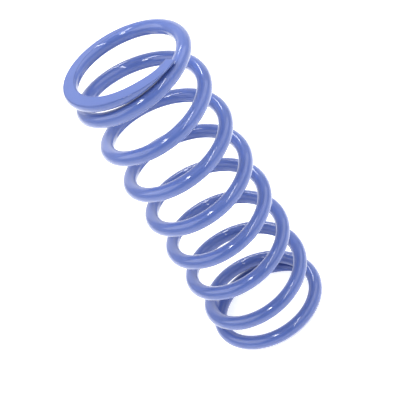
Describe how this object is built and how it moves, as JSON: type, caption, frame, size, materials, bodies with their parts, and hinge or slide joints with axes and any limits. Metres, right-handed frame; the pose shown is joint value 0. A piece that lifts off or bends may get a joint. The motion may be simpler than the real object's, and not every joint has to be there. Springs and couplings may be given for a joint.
{
  "type": "coil spring",
  "caption": "Round-wire helical compression spring with closed, flat-ground ends and a glossy powder coat, for a coil-over suspension strut.",
  "frame": {"origin": "centre of the lower ground face, on the spring's axis", "axes": "+Z along the spring's axis towards the upper ground face; the upper wire tip lies 58 degrees from +X towards +Y"},
  "size_m": [0.074, 0.074, 0.2032],
  "materials": {
    "powder_coat_blue": "gloss powder coat over steel, on the ground faces too"
  },
  "bodies": {
    "bottom_end_coil": {"bottom_end_coil": "powder_coat_blue"},
    "top_end_coil": {"top_end_coil": "powder_coat_blue"},
    "coil_2_right": {"coil_2_right": "powder_coat_blue"},
    "coil_2_front": {"coil_2_front": "powder_coat_blue"},
    "coil_2_left": {"coil_2_left": "powder_coat_blue"},
    "coil_2_back": {"coil_2_back": "powder_coat_blue"},
    "coil_3_right": {"coil_3_right": "powder_coat_blue"},
    "coil_3_front": {"coil_3_front": "powder_coat_blue"},
    "coil_3_left": {"coil_3_left": "powder_coat_blue"},
    "coil_3_back": {"coil_3_back": "powder_coat_blue"},
    "coil_4_right": {"coil_4_right": "powder_coat_blue"},
    "coil_4_front": {"coil_4_front": "powder_coat_blue"},
    "coil_4_left": {"coil_4_left": "powder_coat_blue"},
    "coil_4_back": {"coil_4_back": "powder_coat_blue"},
    "coil_5_right": {"coil_5_right": "powder_coat_blue"},
    "coil_5_front": {"coil_5_front": "powder_coat_blue"},
    "coil_5_left": {"coil_5_left": "powder_coat_blue"},
    "coil_5_back": {"coil_5_back": "powder_coat_blue"},
    "coil_6_right": {"coil_6_right": "powder_coat_blue"},
    "coil_6_front": {"coil_6_front": "powder_coat_blue"},
    "coil_6_left": {"coil_6_left": "powder_coat_blue"},
    "coil_6_back": {"coil_6_back": "powder_coat_blue"},
    "coil_7_right": {"coil_7_right": "powder_coat_blue"},
    "coil_7_front": {"coil_7_front": "powder_coat_blue"},
    "coil_7_left": {"coil_7_left": "powder_coat_blue"},
    "coil_7_back": {"coil_7_back": "powder_coat_blue"},
    "coil_8_right": {"coil_8_right": "powder_coat_blue"},
    "coil_8_front": {"coil_8_front": "powder_coat_blue"},
    "coil_8_left": {"coil_8_left": "powder_coat_blue"}
  },
  "joints": [
    {"name": "compression", "type": "slide", "parent": "bottom_end_coil", "child": "top_end_coil", "axis": [0, 0, 1], "range_m": [-0.115, 0], "stiffness_N_per_m": 25000},
    {"name": "coil_2_right_travel", "type": "slide", "parent": "bottom_end_coil", "child": "coil_2_right", "axis": [0, 0, 1], "range_m": [-0.115, 0]},
    {"name": "coil_2_front_travel", "type": "slide", "parent": "bottom_end_coil", "child": "coil_2_front", "axis": [0, 0, 1], "range_m": [-0.1127, 0]},
    {"name": "coil_2_left_travel", "type": "slide", "parent": "bottom_end_coil", "child": "coil_2_left", "axis": [0, 0, 1], "range_m": [-0.1082, 0]},
    {"name": "coil_2_back_travel", "type": "slide", "parent": "bottom_end_coil", "child": "coil_2_back", "axis": [0, 0, 1], "range_m": [-0.1036, 0]},
    {"name": "coil_3_right_travel", "type": "slide", "parent": "bottom_end_coil", "child": "coil_3_right", "axis": [0, 0, 1], "range_m": [-0.099, 0]},
    {"name": "coil_3_front_travel", "type": "slide", "parent": "bottom_end_coil", "child": "coil_3_front", "axis": [0, 0, 1], "range_m": [-0.0944, 0]},
    {"name": "coil_3_left_travel", "type": "slide", "parent": "bottom_end_coil", "child": "coil_3_left", "axis": [0, 0, 1], "range_m": [-0.0898, 0]},
    {"name": "coil_3_back_travel", "type": "slide", "parent": "bottom_end_coil", "child": "coil_3_back", "axis": [0, 0, 1], "range_m": [-0.0853, 0]},
    {"name": "coil_4_right_travel", "type": "slide", "parent": "bottom_end_coil", "child": "coil_4_right", "axis": [0, 0, 1], "range_m": [-0.0806, 0]},
    {"name": "coil_4_front_travel", "type": "slide", "parent": "bottom_end_coil", "child": "coil_4_front", "axis": [0, 0, 1], "range_m": [-0.0761, 0]},
    {"name": "coil_4_left_travel", "type": "slide", "parent": "bottom_end_coil", "child": "coil_4_left", "axis": [0, 0, 1], "range_m": [-0.0714, 0]},
    {"name": "coil_4_back_travel", "type": "slide", "parent": "bottom_end_coil", "child": "coil_4_back", "axis": [0, 0, 1], "range_m": [-0.0668, 0]},
    {"name": "coil_5_right_travel", "type": "slide", "parent": "bottom_end_coil", "child": "coil_5_right", "axis": [0, 0, 1], "range_m": [-0.0623, 0]},
    {"name": "coil_5_front_travel", "type": "slide", "parent": "bottom_end_coil", "child": "coil_5_front", "axis": [0, 0, 1], "range_m": [-0.0576, 0]},
    {"name": "coil_5_left_travel", "type": "slide", "parent": "bottom_end_coil", "child": "coil_5_left", "axis": [0, 0, 1], "range_m": [-0.053, 0]},
    {"name": "coil_5_back_travel", "type": "slide", "parent": "bottom_end_coil", "child": "coil_5_back", "axis": [0, 0, 1], "range_m": [-0.0484, 0]},
    {"name": "coil_6_right_travel", "type": "slide", "parent": "bottom_end_coil", "child": "coil_6_right", "axis": [0, 0, 1], "range_m": [-0.0438, 0]},
    {"name": "coil_6_front_travel", "type": "slide", "parent": "bottom_end_coil", "child": "coil_6_front", "axis": [0, 0, 1], "range_m": [-0.0392, 0]},
    {"name": "coil_6_left_travel", "type": "slide", "parent": "bottom_end_coil", "child": "coil_6_left", "axis": [0, 0, 1], "range_m": [-0.0347, 0]},
    {"name": "coil_6_back_travel", "type": "slide", "parent": "bottom_end_coil", "child": "coil_6_back", "axis": [0, 0, 1], "range_m": [-0.0301, 0]},
    {"name": "coil_7_right_travel", "type": "slide", "parent": "bottom_end_coil", "child": "coil_7_right", "axis": [0, 0, 1], "range_m": [-0.0254, 0]},
    {"name": "coil_7_front_travel", "type": "slide", "parent": "bottom_end_coil", "child": "coil_7_front", "axis": [0, 0, 1], "range_m": [-0.0208, 0]},
    {"name": "coil_7_left_travel", "type": "slide", "parent": "bottom_end_coil", "child": "coil_7_left", "axis": [0, 0, 1], "range_m": [-0.0163, 0]},
    {"name": "coil_7_back_travel", "type": "slide", "parent": "bottom_end_coil", "child": "coil_7_back", "axis": [0, 0, 1], "range_m": [-0.0117, 0]},
    {"name": "coil_8_right_travel", "type": "slide", "parent": "bottom_end_coil", "child": "coil_8_right", "axis": [0, 0, 1], "range_m": [-0.007, 0]},
    {"name": "coil_8_front_travel", "type": "slide", "parent": "bottom_end_coil", "child": "coil_8_front", "axis": [0, 0, 1], "range_m": [-0.0026, 0]},
    {"name": "coil_8_left_travel", "type": "slide", "parent": "bottom_end_coil", "child": "coil_8_left", "axis": [0, 0, 1], "range_m": [-0.0003, 0]}
  ],
  "couplings": [
    {"joint": "coil_2_right_travel", "follows": "compression", "ratio": 0.9989},
    {"joint": "coil_2_front_travel", "follows": "compression", "ratio": 0.9789},
    {"joint": "coil_2_left_travel", "follows": "compression", "ratio": 0.94},
    {"joint": "coil_2_back_travel", "follows": "compression", "ratio": 0.9},
    {"joint": "coil_3_right_travel", "follows": "compression", "ratio": 0.86},
    {"joint": "coil_3_front_travel", "follows": "compression", "ratio": 0.82},
    {"joint": "coil_3_left_travel", "follows": "compression", "ratio": 0.78},
    {"joint": "coil_3_back_travel", "follows": "compression", "ratio": 0.74},
    {"joint": "coil_4_right_travel", "follows": "compression", "ratio": 0.7},
    {"joint": "coil_4_front_travel", "follows": "compression", "ratio": 0.66},
    {"joint": "coil_4_left_travel", "follows": "compression", "ratio": 0.62},
    {"joint": "coil_4_back_travel", "follows": "compression", "ratio": 0.58},
    {"joint": "coil_5_right_travel", "follows": "compression", "ratio": 0.54},
    {"joint": "coil_5_front_travel", "follows": "compression", "ratio": 0.5},
    {"joint": "coil_5_left_travel", "follows": "compression", "ratio": 0.46},
    {"joint": "coil_5_back_travel", "follows": "compression", "ratio": 0.42},
    {"joint": "coil_6_right_travel", "follows": "compression", "ratio": 0.38},
    {"joint": "coil_6_front_travel", "follows": "compression", "ratio": 0.34},
    {"joint": "coil_6_left_travel", "follows": "compression", "ratio": 0.3},
    {"joint": "coil_6_back_travel", "follows": "compression", "ratio": 0.26},
    {"joint": "coil_7_right_travel", "follows": "compression", "ratio": 0.22},
    {"joint": "coil_7_front_travel", "follows": "compression", "ratio": 0.18},
    {"joint": "coil_7_left_travel", "follows": "compression", "ratio": 0.14},
    {"joint": "coil_7_back_travel", "follows": "compression", "ratio": 0.1},
    {"joint": "coil_8_right_travel", "follows": "compression", "ratio": 0.06},
    {"joint": "coil_8_front_travel", "follows": "compression", "ratio": 0.0211},
    {"joint": "coil_8_left_travel", "follows": "compression", "ratio": 0.0011}
  ]
}
